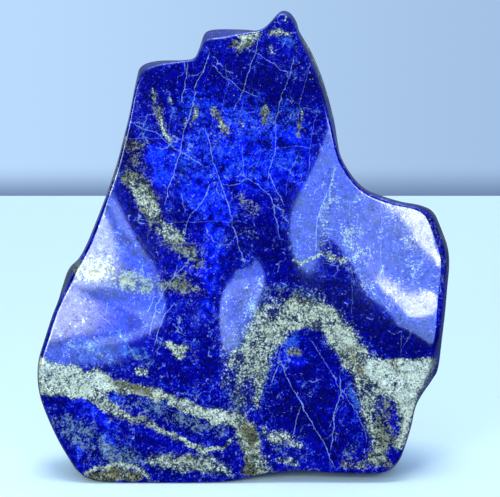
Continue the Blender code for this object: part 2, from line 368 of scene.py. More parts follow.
lapis_mesh = skin("polished_lapis_stone", stone, grid.shape[0], RAYS)
lapis = put("polished_lapis_stone", lapis_mesh)
print("skin:", len(lapis_mesh.vertices), "points,", len(lapis_mesh.polygons), "faces")

# %% [markdown]
# ## A map of the rock
#
# Bands, patches and clouds of a rock look random, but they have places. Each is drawn here as
# a few fat strokes, like chalk on a slab: a density from 0 to 1, the width of the soft edge,
# then points, each with the stroke's half width there, all in picture units. A picture unit is
# 0.42 mm at the girdle, a little less on the face, and counts across from the left and down
# from the top. How densely each point of the mesh is painted is stored as an attribute, and the
# material later frays that smooth density with noise. Two maps need no strokes of their own:
# the halo is the calcite strokes again, thinner and softer, and the brown rind of the left bump
# is a bell-shaped spot.

# %% Strokes
UNIT = 0.42 * MM
PICTURE_MIDDLE = (250.0, 248.5)
SLAB_MIDDLE = (2.94 * MM, 99.1 * MM)
VIEW_FROM = 450 * MM          # the pattern was measured from this far away
BEND = 0.55                   # how far bands run sideways for each bit of depth in the rock
SINK = 0.30                   # and how far they sink
SKIN = 2 * MM                 # the pattern of the face goes straight in for this deep
FADE = 1.6                    # a soft edge is this many times as wide as its stroke says
HALO_SHARE = 0.6              # the halo's density for each bit of calcite's
HALO_SPREAD = 3               # and how many times softer its edge is
RIND = ((-75.0, 88.0, 7.0, 11.0, 1.0),)     # a hollow's row, used for the brown spot
RIND_DEEP = 5 * MM            # depth at which the brown spot has come up fully
DRIFT_WAVES = ((31, 0.7), (17, 0.5), (9.5, 0.4), (5.7, 0.3))      # length and height, both in mm
DRIFT_TURN = 1.9              # each wave is turned this much further, in radians


def on_face(stroke):
    """Picture units to metres on the slab.

    A face is nearer than the girdle and looks larger, so a unit is smaller on it: by 1 minus
    half the slab's thickness over the distance that it is seen from.
    """
    stroke = np.asarray(stroke, dtype=float)
    down = stroke[:, 1]
    nearness = 1 - half_thickness(TALL * (1 - down / (2 * PICTURE_MIDDLE[1]))) / VIEW_FROM
    across = SLAB_MIDDLE[0] + (stroke[:, 0] - PICTURE_MIDDLE[0]) * UNIT * nearness
    up = SLAB_MIDDLE[1] + (PICTURE_MIDDLE[1] - down) * UNIT * nearness
    return np.column_stack([across, up, stroke[:, 2] * UNIT * nearness])


def painted(strokes, across, up):
    """How densely each place is painted, from 0 to 1.

    A stroke fades by a smooth step that is centred on its half width. Where strokes overlap,
    their bare shares, 1 minus density, are multiplied.
    """
    bare = np.ones(across.shape)
    for density, edge, *stroke in strokes:
        line = on_face(stroke)
        best = np.full(across.shape, -1.0)
        for (x0, z0, r0), (x1, z1, r1) in zip(line, line[1:] if len(line) > 1 else line):
            square = max((x1 - x0) ** 2 + (z1 - z0) ** 2, 1e-12)
            share = np.clip(((across - x0) * (x1 - x0) + (up - z0) * (z1 - z0)) / square, 0, 1)
            gap = np.hypot(across - x0 - share * (x1 - x0), up - z0 - share * (z1 - z0))
            best = np.maximum(best, r0 + (r1 - r0) * share - gap)
        inside = np.clip(best / (FADE * edge * UNIT) + 0.5, 0, 1)
        bare *= 1 - density * inside ** 2 * (3 - 2 * inside)
    return 1 - bare


def drift(across, up, turn):
    """A wandering offset: four sine waves of falling length and height, each turned further."""
    offset = np.zeros_like(across)
    for length, height in DRIFT_WAVES:
        turn += DRIFT_TURN
        phase = (across * math.cos(turn) + up * math.sin(turn)) * 2 * math.pi / (length * MM)
        offset += height * MM * np.sin(phase + 3 * turn)
    return offset


behind = slab[:, 1] - front_depth(slab[:, 0], slab[:, 2])
behind = np.maximum(behind - SKIN, 0)
map_across = slab[:, 0] + BEND * behind
map_up = slab[:, 2] - SINK * behind
band_across = map_across + drift(map_across, map_up, 0.0)
band_up = map_up + drift(map_across, map_up, 1.0)
print("map of the rock reaches", np.round(behind.max() / MM, 1), "mm into the slab")

# %% Calcite: pale bands, patches and crumbs
CALCITE = (
    (0.90, 4, (30, 372, 16), (55, 379, 17.5), (80, 385, 16), (98, 386, 12)),
    (0.75, 5, (84, 396, 6), (104, 404, 5), (122, 412, 4)),
    (0.80, 4, (98, 379, 9), (120, 386, 7), (142, 392, 5.5)),
    (0.92, 4, (142, 392, 4), (162, 399, 4.5), (182, 403, 5), (205, 411, 7), (222, 419, 8)),
    (0.70, 5, (222, 417, 6), (236, 426, 8), (250, 440, 8)),
    (0.55, 4, (126, 414, 3), (142, 420, 4.5), (158, 429, 4)),
    (0.95, 3, (158, 430, 2), (178, 438, 2.4), (192, 444, 2.6), (206, 450, 2), (220, 449, 1.4),
     (232, 442, 1.2)),
    (0.50, 14, (240, 420, 6), (243, 395, 10), (246, 370, 11), (252, 340, 12), (264, 312, 9)),
    (0.70, 6, (258, 404, 3), (262, 372, 6), (268, 345, 9), (278, 326, 10), (292, 316, 12),
     (312, 316, 13), (330, 326, 12), (344, 342, 12)),
    (0.40, 10, (248, 366, 12), (256, 336, 13), (272, 314, 13), (292, 304, 12), (312, 304, 12),
     (336, 320, 12), (356, 342, 10)),
    (0.55, 5, (270, 332, 5), (284, 322, 5), (300, 320, 4)),
    (0.72, 7, (344, 340, 11), (358, 358, 15), (368, 380, 14), (370, 404, 9), (372, 428, 5),
     (376, 450, 4)),
    (0.98, 4, (374, 368, 12), (388, 374, 15), (406, 376, 16), (424, 374, 16), (440, 372, 16)),
    (0.95, 5, (392, 386, 13), (408, 398, 13), (408, 412, 8), (404, 430, 5), (398, 448, 4)),
    (0.50, 6, (380, 460, 5), (364, 466, 4), (344, 466, 3)),
    (0.62, 5, (262, 428, 3), (272, 436, 6), (290, 438, 5), (300, 446, 4)),
    (0.60, 6, (252, 448, 8), (262, 462, 8), (268, 474, 8)),
    (0.60, 4, (280, 458, 4), (296, 466, 5)), (0.70, 3, (233, 352, 2), (233, 364, 2)),
    (0.85, 3, (170, 347, 4), (177, 353, 7), (183, 350, 3)), (0.85, 3, (137, 368, 3), (143, 371, 3)),
    (0.70, 3, (104, 357, 1.6)), (0.80, 3, (223, 386, 2)), (0.75, 4, (238, 36, 2), (246, 38, 5)),
    (0.75, 4, (246, 38, 5), (256, 36, 4)), (0.60, 4, (240, 50, 4), (243, 44, 4)),
    (0.75, 3, (270, 29, 2), (280, 29, 2.5), (291, 31, 2.5)),
    (0.50, 3, (272, 45, 1.5), (273, 53, 1.5)), (0.80, 2, (300, 48, 2)), (0.60, 3, (286, 16, 2.5)),
    (0.60, 7, (134, 182, 6), (140, 196, 8)), (0.75, 6, (146, 200, 6), (151, 208, 8), (153, 216, 6)),
    (0.75, 6, (161, 229, 5), (171, 231, 7), (182, 236, 5)),
    (0.80, 2, (152, 92, 1.5), (156, 100, 1.5)), (0.90, 2, (158, 117, 2.2), (160, 122, 1.8)),
    (0.95, 2, (162, 126, 1.8), (164, 134, 2), (168, 141, 1.4)),
    (0.85, 2, (170, 98, 1.4), (173, 104, 1.2)), (0.95, 3, (196, 109, 3)), (0.75, 2, (210, 110, 2)),
    (0.95, 2, (219, 124, 2.2), (222, 129, 1.8)), (0.80, 2, (226, 137, 1.8)),
    (0.90, 2, (263, 101, 1.4), (265, 112, 1.4)), (0.90, 2, (303, 112, 2)),
    (0.85, 2, (240, 122, 2), (244, 126, 1.6)), (0.80, 2, (184, 116, 1.5), (182, 124, 1.2)),
    (0.75, 2, (307, 134, 1.5)), (0.75, 3, (318, 254, 2.5), (304, 262, 2), (292, 260, 1.5)),
    (0.65, 5, (324, 252, 2.5), (334, 260, 4), (346, 262, 3)),
    (0.20, 16, (66, 264, 7), (92, 274, 9), (118, 280, 8), (150, 288, 7)),
    (0.62, 4, (94, 477, 3), (112, 475, 5), (132, 478, 3)),
    (0.68, 7, (150, 460, 5), (172, 462, 8), (205, 464, 8), (226, 474, 6)),
    (0.98, 3, (84, 474, 2.2), (98, 464.5, 2.2), (120, 462.5, 2.4), (137, 470, 2.4), (150, 482, 2.2)),
    (0.75, 3, (104, 474, 1.2), (106, 466, 1.2)), (0.85, 3, (116, 480, 1.8), (119, 468, 1.8)),
    (0.70, 3, (127, 478, 1.2), (126, 468, 1.0)),
    (0.85, 4, (316, 44, 4), (332, 84, 5), (346, 116, 5)), (0.10, 9, (386, 404, 8), (384, 440, 9)),
    (0.30, 8, (236, 300, 5), (250, 290, 6), (262, 284, 5)), (0.35, 8, (232, 330, 6), (226, 380, 6)),
    (0.80, 1.5, (336, 166, 0.9), (330, 188, 0.9), (331, 201, 0.9)),
)

# %% Olive and brown grains, where the rock is calcite, pyrite and dark minerals together
OLIVE = (
    (0.45, 8, (124, 140, 5), (133, 152, 9), (134, 168, 8)), (0.50, 6, (117, 163, 3), (109, 190, 3)),
    (0.60, 8, (256, 350, 6), (272, 326, 8), (298, 310, 10), (330, 318, 10), (350, 346, 8)),
    (0.45, 8, (40, 372, 10), (80, 386, 12)), (0.40, 8, (384, 400, 8), (386, 440, 8)),
    (0.85, 8, (132, 180, 9), (142, 190, 11), (148, 206, 11), (154, 220, 8)),
    (0.42, 12, (160, 228, 8), (178, 242, 12), (194, 256, 12), (196, 270, 9)),
    (0.62, 14, (60, 264, 6), (92, 273, 9), (122, 279, 10), (150, 283, 9), (180, 285, 8),
     (196, 290, 6)),
    (0.20, 16, (340, 200, 12), (380, 200, 20), (420, 230, 24), (430, 280, 16), (390, 296, 12)),
    (0.45, 8, (234, 190, 5), (250, 202, 8), (258, 214, 5)),
    (0.60, 3, (196, 112, 3), (190, 122, 2)), (0.60, 4, (212, 112, 4), (226, 136, 4)),
    (0.45, 6, (155, 96, 5), (160, 125, 5)), (0.60, 3, (263, 106, 3), (263, 120, 2)),
    (0.75, 5, (234, 44, 5), (248, 42, 6), (240, 54, 4)), (0.60, 4, (272, 48, 3)),
    (0.60, 4, (270, 30, 4), (290, 32, 3)), (0.50, 3, (304, 116, 2), (300, 140, 2)),
    (0.85, 6, (232, 420, 6), (244, 432, 9), (252, 448, 8), (256, 468, 8)),
    (0.80, 5, (108, 380, 4), (126, 386, 7), (150, 394, 5), (160, 398, 4)),
    (0.98, 3, (90, 476, 5), (112, 474, 8), (138, 479, 5)),
    (0.70, 6, (446, 214, 4), (462, 244, 5), (468, 288, 5)),
    (0.50, 5, (118, 412, 5), (142, 420, 6), (162, 430, 5)),
    (0.60, 7, (376, 424, 8), (388, 440, 9), (372, 458, 7)), (0.60, 6, (344, 464, 5), (390, 466, 4)),
    (0.50, 7, (282, 296, 6), (300, 300, 6), (322, 308, 5)), (0.50, 6, (344, 350, 7), (360, 380, 8)),
    (0.60, 3, (34, 360, 4), (44, 364, 3)), (0.50, 3, (104, 357, 3)), (0.50, 3, (160, 377, 3)),
    (0.45, 5, (200, 462, 10), (170, 460, 8)), (0.60, 4, (292, 349, 4), (299, 352, 3)),
    (0.34, 12, (350, 232, 10), (358, 262, 12), (368, 284, 8)),
    (0.32, 10, (330, 200, 8), (318, 240, 6)),
)
BROWN = (
    (0.70, 4, (114, 381, 4), (134, 387, 5), (150, 394, 3.5)),
    (0.60, 4, (92, 476, 4), (112, 474, 7), (134, 479, 5)),
    (0.85, 4, (243, 430, 4), (250, 438, 5), (252, 444, 3)),
    (0.55, 5, (392, 364, 5), (400, 376, 4)), (0.50, 6, (350, 352, 6), (362, 374, 6)),
    (0.45, 5, (128, 146, 5), (132, 166, 5)), (0.40, 4, (250, 470, 8)),
)

# %% Clouds of blue: cobalt, night blue, azure edges, and a pale dusting of fine calcite
COBALT = (
    (0.95, 8, (154, 156, 8), (166, 168, 10), (160, 178, 6)),
    (0.42, 16, (176, 150, 14), (220, 140, 22), (262, 140, 24), (296, 150, 18)),
    (0.42, 14, (180, 190, 10), (230, 176, 18), (280, 176, 18), (300, 182, 10)),
    (0.95, 10, (196, 200, 8), (214, 206, 11), (226, 214, 7)),
    (0.60, 10, (284, 136, 8), (292, 140, 5)), (0.55, 12, (214, 225, 12), (212, 260, 10)),
    (0.45, 12, (206, 276, 8), (206, 312, 7)),
    (0.75, 10, (118, 252, 5), (134, 262, 7), (148, 270, 3)), (0.55, 8, (180, 268, 5), (196, 274, 5)),
    (0.45, 10, (286, 350, 8), (300, 362, 6)), (0.50, 8, (80, 404, 6), (110, 420, 6)),
    (0.65, 6, (108, 440, 5), (114, 448, 4)), (0.65, 6, (78, 458, 5), (84, 450, 4)),
    (0.55, 8, (100, 394, 6), (110, 397, 5)), (0.40, 12, (150, 300, 10), (110, 320, 16)),
    (0.30, 20, (200, 100, 20), (240, 110, 20)),
)
NIGHT = (
    (0.70, 20, (150, 90, 12), (180, 78, 16), (225, 72, 16), (265, 80, 14), (312, 92, 12)),
    (0.80, 12, (240, 222, 8), (262, 236, 14), (282, 262, 12), (310, 280, 10), (350, 300, 12),
     (385, 338, 12), (425, 345, 10)),
    (0.80, 10, (122, 190, 6), (136, 222, 8), (152, 250, 6)), (0.50, 10, (300, 190, 8), (290, 210, 8)),
    (0.85, 10, (122, 132, 8), (132, 166, 10)), (0.80, 10, (395, 330, 8), (436, 340, 8)),
    (0.50, 10, (150, 372, 8), (190, 378, 12)), (0.80, 14, (290, 410, 20), (335, 440, 16)),
    (0.50, 12, (204, 335, 8), (204, 370, 8)), (0.50, 8, (300, 366, 10), (330, 400, 10)),
    (0.60, 8, (160, 410, 8), (190, 425, 8)),
)
AZURE = (
    (0.28, 24, (180, 105, 12), (230, 115, 16), (285, 122, 14)),
    (0.28, 24, (190, 160, 18), (280, 160, 16)), (0.60, 5, (92, 392, 3), (110, 398, 4)),
    (0.60, 4, (262, 396, 2), (267, 366, 3), (278, 340, 3), (296, 334, 2)),
    (0.55, 4, (344, 372, 2), (352, 392, 3), (360, 408, 2)),
    (0.70, 4, (282, 38, 3), (294, 42, 4)), (0.50, 5, (140, 130, 3), (150, 128, 2)),
    (0.60, 5, (128, 350, 4), (142, 354, 6), (150, 362, 4)), (0.40, 6, (186, 252, 4), (204, 256, 4)),
    (0.40, 10, (76, 345, 8), (100, 352, 8), (126, 348, 6)), (0.45, 5, (290, 346, 7), (296, 344, 6)),
    (0.35, 12, (70, 430, 10), (110, 448, 10)), (0.40, 8, (120, 330, 6)), (0.30, 8, (160, 410, 12)),
)
DUST = (
    (0.45, 10, (66, 345, 6), (90, 352, 8), (114, 358, 6)), (0.40, 8, (130, 352, 6), (150, 362, 6)),
    (0.55, 10, (58, 422, 8), (82, 436, 14), (112, 452, 12), (144, 462, 8)),
    (0.60, 8, (160, 462, 10), (200, 464, 10), (226, 472, 8)),
    (0.45, 10, (128, 402, 6), (160, 410, 7), (196, 424, 10), (218, 432, 8)),
    (0.50, 10, (252, 306, 8), (268, 294, 8), (292, 290, 8), (318, 298, 8)),
    (0.50, 12, (236, 345, 8), (240, 375, 10), (236, 405, 8)), (0.30, 10, (350, 262, 8), (356, 290, 6)),
    (0.40, 8, (374, 424, 8), (388, 436, 8)), (0.22, 16, (196, 140, 16), (240, 125, 16), (290, 120, 14)),
    (0.22, 12, (240, 222, 12), (270, 244, 12)), (0.50, 10, (70, 262, 10), (90, 276, 10), (140, 284, 8)),
    (0.40, 8, (280, 446, 8), (310, 458, 6)), (0.35, 6, (350, 452, 6), (356, 440, 4)),
    (0.45, 6, (176, 246, 6), (196, 258, 6)), (0.40, 6, (100, 395, 6)), (0.30, 10, (120, 250, 10)),
)


def write_map(name, values):
    """Store one number, or one vector, for each point of the mesh."""
    kind, field = ("FLOAT", "value") if values.ndim == 1 else ("FLOAT_VECTOR", "vector")
    layer = lapis_mesh.attributes.new(name, kind, "POINT")
    layer.data.foreach_set(field, values.astype(np.float32).ravel())


HALO = tuple((HALO_SHARE * density, HALO_SPREAD * edge, *stroke)
             for density, edge, *stroke in CALCITE)
rind = hollows(RIND, slab[:, 0], slab[:, 2]) / MM * np.clip(behind / RIND_DEEP, 0, 1)
for name, strokes in (("calcite", CALCITE), ("halo", HALO), ("olive", OLIVE), ("brown", BROWN),
                      ("cobalt", COBALT), ("night", NIGHT), ("azure", AZURE), ("dust", DUST)):
    density_map = painted(strokes, band_across, band_up)
    if name == "brown":
        density_map = np.maximum(density_map, rind)
    write_map(name, density_map)
    print("%-8s has a mean density of %.3f" % (name, density_map.mean()))

# %% [markdown]
# ## Veins
#
# The veins are healed cracks, filled with calcite and thinner than the mesh is fine. A stored
# distance that is always positive would blur them: its lowest value falls between two points
# and is lost. A distance with a sign, plus on one side and minus on the other, crosses zero
# exactly on the vein, even inside a face. Veins that cross would spoil each other's signs, so
# they are dealt out over six layers in which no two come near each other.

# %% Vein lines: strength first, then picture units across and down
VEINS = (
    (0.9, (187, 61), (187, 75), (184, 91), (181, 102)),
    (1.0, (210, 49), (205, 67), (197, 83), (191, 108), (184, 132), (180, 151), (173, 174),
     (167, 188), (164, 206)),
    (0.7, (212, 64), (224, 76), (239, 88), (259, 97)),
    (0.6, (232, 38), (247, 48), (267, 59), (280, 69), (291, 73)),
    (0.8, (259, 33), (256, 51), (250, 64), (244, 90), (232, 112)),
    (0.7, (294, 53), (288, 80), (280, 102), (275, 121), (276, 148), (269, 169), (269, 188)),
    (0.8, (269, 172), (275, 188), (285, 206)),
    (0.5, (277, 147), (298, 145), (312, 148)),
    (0.9, (130, 121), (143, 129), (156, 131), (169, 143), (180, 151), (196, 161), (210, 167)),
    (0.5, (138, 139), (143, 128), (148, 112)),
    (0.9, (205, 124), (210, 147), (215, 166), (223, 190), (229, 206), (234, 228), (240, 250),
     (245, 266)),
    (0.8, (221, 184), (239, 183), (248, 178), (259, 185), (269, 193), (274, 207), (277, 223),
     (280, 239)),
    (0.5, (242, 143), (243, 175), (248, 178)),
    (0.9, (210, 183), (204, 198), (191, 215), (184, 233), (180, 250)),
    (0.5, (180, 191), (186, 214)),
    (0.9, (336, 166), (330, 188), (331, 201)),
    (0.8, (330, 188), (318, 214), (317, 239), (316, 254)),
    (0.9, (198, 250), (175, 274), (156, 304), (148, 339)),
    (0.8, (174, 303), (164, 317), (153, 346)),
    (0.5, (96, 311), (112, 326), (124, 341), (137, 357)),
    (0.5, (153, 401), (175, 411)),
    (1.0, (278, 359), (301, 404), (323, 441), (336, 469)),
    (0.8, (278, 364), (271, 383)),
    (0.7, (301, 406), (293, 436)),
    (0.9, (341, 371), (341, 393), (334, 412), (333, 432), (331, 452)),
    (0.6, (308, 336), (323, 356), (341, 389), (354, 409), (364, 426), (368, 446)),
    (0.7, (283, 336), (278, 359)),
    (0.5, (323, 439), (333, 434)),
    (0.4, (401, 333), (402, 356)),
    (0.4, (412, 330), (403, 348)),
    (0.4, (352, 273), (353, 296), (352, 316)),
    (0.5, (285, 452), (293, 466)),
    (0.4, (126, 138), (150, 138), (168, 137)),
    (0.4, (318, 106), (312, 132), (309, 164), (310, 190)),
    (0.4, (382, 176), (383, 220), (382, 262), (385, 285)),
    (0.4, (396, 316), (378, 296), (362, 276), (345, 266), (318, 262)),
    (0.5, (236, 222), (200, 222), (160, 224), (132, 216)),
    (0.4, (350, 190), (352, 230), (350, 262)),
    (0.3, (290, 222), (318, 218), (346, 224)),
    (0.3, (264, 210), (240, 208), (226, 206)),
    (0.4, (310, 60), (306, 78), (300, 100), (296, 130)),
    (0.4, (170, 90), (172, 110), (168, 132), (172, 150)),
    (0.4, (225, 62), (228, 88), (222, 110), (214, 124)),
    (0.4, (300, 150), (290, 172), (286, 196)),
    (0.4, (262, 150), (256, 166), (248, 178)),
    (0.3, (110, 205), (126, 222), (142, 244), (160, 262)),
    (0.3, (150, 220), (146, 244), (140, 258)),
    (0.3, (250, 390), (266, 402), (276, 420)),
    (0.3, (97, 409), (92, 426), (88, 438)),
    (0.3, (118, 424), (126, 440), (134, 452)),
)
VEIN_REACH = 2.5 * MM         # distances are stored out to here
VEIN_TAPER = 12               # a vein thins out over one twelfth of its length at each end
VEIN_FAINTEST = 0.02          # a strength that can't be seen, but marks a layer as taken
LAYERS = 6


def vein_distance(vein, across, up):
    """Signed distance to a broken line, and how far along it the nearest place is, 0 to 1.

    The nearest leg gives the distance, and the cross product with that leg gives the sign.
    """
    line = on_face([(x, y, 0) for x, y in vein[1:]])[:, :2]
    legs = np.hypot(*np.diff(line, axis=0).T)
    start = np.concatenate([[0], np.cumsum(legs)])
    nearest = np.full(across.shape, np.inf)
    signed = np.zeros_like(across)
    along = np.zeros_like(across)
    for k in range(len(line) - 1):
        (x0, z0), (dx, dz) = line[k], line[k + 1] - line[k]
        share = np.clip(((across - x0) * dx + (up - z0) * dz) / legs[k] ** 2, 0, 1)
        gap_x = across - x0 - share * dx
        gap_z = up - z0 - share * dz
        gap = np.hypot(gap_x, gap_z)
        side = np.sign(gap_x * dz - gap_z * dx)
        closer = gap < nearest
        nearest = np.where(closer, gap, nearest)
        signed = np.where(closer, gap * np.where(side == 0, 1, side), signed)
        along = np.where(closer, (start[k] + share * legs[k]) / start[-1], along)
    return signed, along


distance = np.full((LAYERS, len(slab)), VEIN_REACH)
strength = np.zeros((LAYERS, len(slab)))
for vein in VEINS:
    signed, along = vein_distance(vein, map_across, map_up)
    near = np.abs(signed) < VEIN_REACH
    free = next(k for k in range(LAYERS) if not np.any(strength[k][near] > 0))
    fade = np.clip(np.minimum(along, 1 - along) * VEIN_TAPER, 0.0, 1) ** 0.5
    distance[free][near] = signed[near]
    strength[free][near] = vein[0] * np.maximum(fade[near], VEIN_FAINTEST)
for name, values in (("vein_distance", distance / MM), ("vein_strength", strength)):
    for half in range(LAYERS // 3):
        write_map("%s_%d" % (name, half), values[3 * half:3 * half + 3].T)
print(len(VEINS), "veins dealt out over", LAYERS, "layers")

# %% [markdown]
# ## Writing a material as sums
#
# Node trees are hard to read as wiring and easy to read as arithmetic. The class below wraps
# one socket, so that plus, minus and times between sockets each add a Math node. Colours are
# blended by Mix nodes. One method makes every other node from its type, its settings and the
# values of its sockets.

# %% Sockets that can be added and multiplied


class Value:
    """A number that varies over the surface, held by one socket of a node tree."""

    def __init__(self, wiring, socket):
        self.wiring = wiring
        self.socket = socket

    def math(self, operation, *terms):
        return self.wiring.node("ShaderNodeMath", {"operation": operation}, dict(enumerate(terms)))

    def __add__(self, other):
        return self.math("ADD", self, other)

    def __sub__(self, other):
        return self.math("SUBTRACT", self, other)

    def __mul__(self, other):
        return self.math("MULTIPLY", self, other)

    def __rsub__(self, other):
        return self.math("SUBTRACT", other, self)

    def __abs__(self):
        return self.math("ABSOLUTE", self)

    def __or__(self, other):
        return self.math("MAXIMUM", self, other)

    __radd__ = __add__
    __rmul__ = __mul__

    def rise(self, low, high):
        """Zero up to low, one from high, and a smooth step between them."""
        return self.wiring.node("ShaderNodeMapRange", {"interpolation_type": "SMOOTHSTEP"},
                                {"Value": self, "From Min": low, "From Max": high})


class Wiring:
    """A node tree whose nodes are made by calls."""

    def __init__(self, tree):
        self.tree = tree

    def node(self, kind, settings, sockets, output=0):
        """Add a node, set its settings first, then its sockets; give back one output."""
        node = self.tree.nodes.new(kind)
        for key, setting in settings.items():
            setattr(node, key, setting)
        for key, value in sockets.items():
            self.feed(node.inputs[key], value)
        return Value(self, node.outputs[output])

    def feed(self, socket, value):
        """Link a socket to a Value or another socket, or set it to a plain number or colour."""
        if isinstance(value, Value):
            value = value.socket
        if isinstance(value, bpy.types.NodeSocket):
            self.tree.links.new(value, socket)
        else:
            socket.default_value = value

    def blend(self, low, high, share):
        """A colour between two: low times 1 minus the share, plus high times the share."""
        return self.node("ShaderNodeMix", {"data_type": "RGBA"}, {0: share, 6: low, 7: high}, 2)

    def parts(self, vector):
        """The three numbers of a vector."""
        split = self.node("ShaderNodeSeparateXYZ", {}, {0: vector}).socket.node
        return [Value(self, out) for out in split.outputs]


class Finish(Wiring):
    """A material with a Principled shader, patterned by places on the object."""

    def __init__(self, name):
        self.material = bpy.data.materials.new(name)
        self.material.use_nodes = True
        super().__init__(self.material.node_tree)
        self.shader = self.tree.nodes["Principled BSDF"]
        self.place = self.node("ShaderNodeTexCoord", {}, {}, "Object")

    def noise(self, size, detail=2.0, roughness=0.5):
        """Soft random cloud, around 0.5, whose lumps are about size millimetres."""
        return self.node("ShaderNodeTexNoise", {},
                         {"Vector": self.place, "Scale": 1 / (size * MM),
                          "Detail": detail, "Roughness": roughness})

    def map(self, name):
        """A number stored on the mesh."""
        return self.node("ShaderNodeAttribute", {"attribute_name": name}, {}, "Fac")

    def layers(self, name):
        """Three numbers stored on the mesh as one vector."""
        return self.parts(self.node("ShaderNodeAttribute", {"attribute_name": name}, {}, "Vector"))

    def bent(self, size, amount):
        """The place moved about by a random cloud: place plus amount times cloud minus a half."""
        cloud = self.noise(size).socket.node.outputs["Color"]
        centred = self.node("ShaderNodeVectorMath", {"operation": "SUBTRACT"},
                            {0: cloud, 1: (0.5, 0.5, 0.5)}, "Vector")
        return self.node("ShaderNodeVectorMath", {"operation": "MULTIPLY_ADD"},
                         {0: centred, 1: (amount * MM,) * 3, 2: self.place}, "Vector")

    def crystals(self, size, place):
        """Random cells: distance to the cell's middle in cells, and three numbers of its own."""
        cell = self.node("ShaderNodeTexVoronoi", {}, {"Vector": place, "Scale": 1 / (size * MM)})
        colour = Value(self, cell.socket.node.outputs["Color"])
        split = self.node("ShaderNodeSeparateColor", {}, {0: colour}).socket.node
        return cell, *(Value(self, out) for out in split.outputs)


rock = Finish("polished_lapis")
print("material", rock.material.name, "started")

# %% [markdown]
# ## Fraying the map
#
# Rock never has a soft airbrushed edge. Where calcite ends, its grains thin out over a few
# millimetres. So a density isn't shown as a tint. It is a chance: each small grain draws a
# number, and the grain is calcite where its number is below the density there. Half the
# density gives half the grains, and a soft edge becomes a scatter of grains.

# %% Noise of four sizes, grains of two sizes, and the draw
cloud = rock.noise(22, 2.0) - 0.5
patch = rock.noise(7, 3.0, 0.6) - 0.5
curd = rock.noise(2.6, 3.0, 0.65) - 0.5
grain = rock.noise(0.8, 3.0, 0.7) - 0.5

bent_place = rock.bent(1.2, 0.9)
_, fine_1, fine_2, fine_3 = rock.crystals(0.5, bent_place)
_, mid_1, mid_2, mid_3 = rock.crystals(1.25, bent_place)


def drawn(name, fine, mid, lumps=1.0):
    """Mask of the grains whose drawn number is below the density of a map.

    The number is 0.42 of the fine grain's, 0.12 of the middle grain's and 0.23, less 1.2 times
    the finest noise. Noise also multiplies the density, so that the edge wanders. A number close
    to the density gives a grain that is only partly of the mineral.
    """
    chance = rock.map(name) * (1.0 + patch * (2.2 * lumps) + curd * (1.6 * lumps))
    number = fine * 0.42 + mid * 0.12 - grain * 1.2 + 0.23
    return (chance - number).rise(-0.20, 0.20)


calcite = drawn("calcite", fine_1, mid_1)
olive = drawn("olive", fine_2, mid_2, 1.2)
brown = drawn("brown", fine_3, mid_2, 1.2)
dust = drawn("dust", fine_3, mid_3, 1.5)
azure = drawn("azure", fine_2, mid_3, 2.0)
cobalt = rock.map("cobalt") * (1.0 + patch * 3.0 + curd * 3.5) + (fine_2 - 0.5) * 0.25
night = rock.map("night") * (1.0 + patch * 2.0)
print("masks:", len(rock.tree.nodes), "nodes so far")

# %% [markdown]
# ## Lazurite
#
# The blue is many small grains of slightly different blues. A night blue, an ultramarine and a
# cobalt are blended by the maps, and the fine grain shifts each of them a little. A lace of
# steel blue runs along the lines where a noise crosses its middle value. Sky-blue flecks, black
# pits and crumbs of other minerals sit between the grains. They keep off the calm night-blue
# parts, which are the purest, and the crumbs like the olive parts best.

# %% The blue ground
NIGHT_BLUE = (0.0006, 0.0008, 0.10, 1)
ULTRAMARINE = (0.0010, 0.0014, 0.34, 1)
COBALT_BLUE = (0.0015, 0.009, 0.76, 1)
SKY_BLUE = (0.02, 0.09, 0.52, 1)
BLACK_BLUE = (0.004, 0.005, 0.022, 1)
STEEL_BLUE = (0.025, 0.11, 0.56, 1)
DARK_CRUMB = (0.05, 0.055, 0.035, 1)
PALE_CRUMB = (0.27, 0.26, 0.13, 1)

calm = rock.map("night").rise(0.2, 0.9)
mixed_rock = rock.map("olive")
tone = (0.54 + cloud * 0.9 + patch * 1.6 + curd * 1.8 + grain * 1.0 + (fine_1 - 0.5) * 0.4
        - night * 0.45)
blue = rock.blend(NIGHT_BLUE, ULTRAMARINE, tone.rise(0.0, 1.0))
blue = rock.blend(blue, COBALT_BLUE, cobalt.rise(0.05, 0.75))
blue = rock.blend(blue, SKY_BLUE, azure * (0.2 + fine_1 * 0.8))
ridge = 1 - abs(rock.noise(5, 4.0, 0.7) - 0.5).rise(0.0, 0.035)
lace = ridge * (patch * 2.0 + curd * 2.0 + rock.map("azure") * 1.2 + rock.map("cobalt") * 0.6
                + rock.map("dust") * 0.4 - calm * 0.5 - mixed_rock * 5.0).rise(0.0, 0.6)
blue = rock.blend(blue, STEEL_BLUE, lace * 0.55)
stray = (curd * 1.4 + grain * 2.0 + (fine_3 - 0.5) * 0.5 - calm * 0.4
         - mixed_rock * 0.8).rise(0.32, 0.54)
blue = rock.blend(blue, SKY_BLUE, stray * 0.7)
pits = ((fine_3 - 0.5) * 0.9 - curd * 1.2 + patch * 0.6 - grain * 0.8).rise(0.28, 0.48)
blue = rock.blend(blue, BLACK_BLUE, pits * 0.7)
crumbs = ((fine_2 - 0.5) * 0.9 + grain * 1.4 + patch * 1.5 + curd * 1.2 - calm * 0.45
          + mixed_rock * 0.7).rise(0.50, 0.70)
blue = rock.blend(blue, rock.blend(DARK_CRUMB, PALE_CRUMB, fine_1.rise(0.2, 1.0)), crumbs * 0.9)
print("blue ground ready")
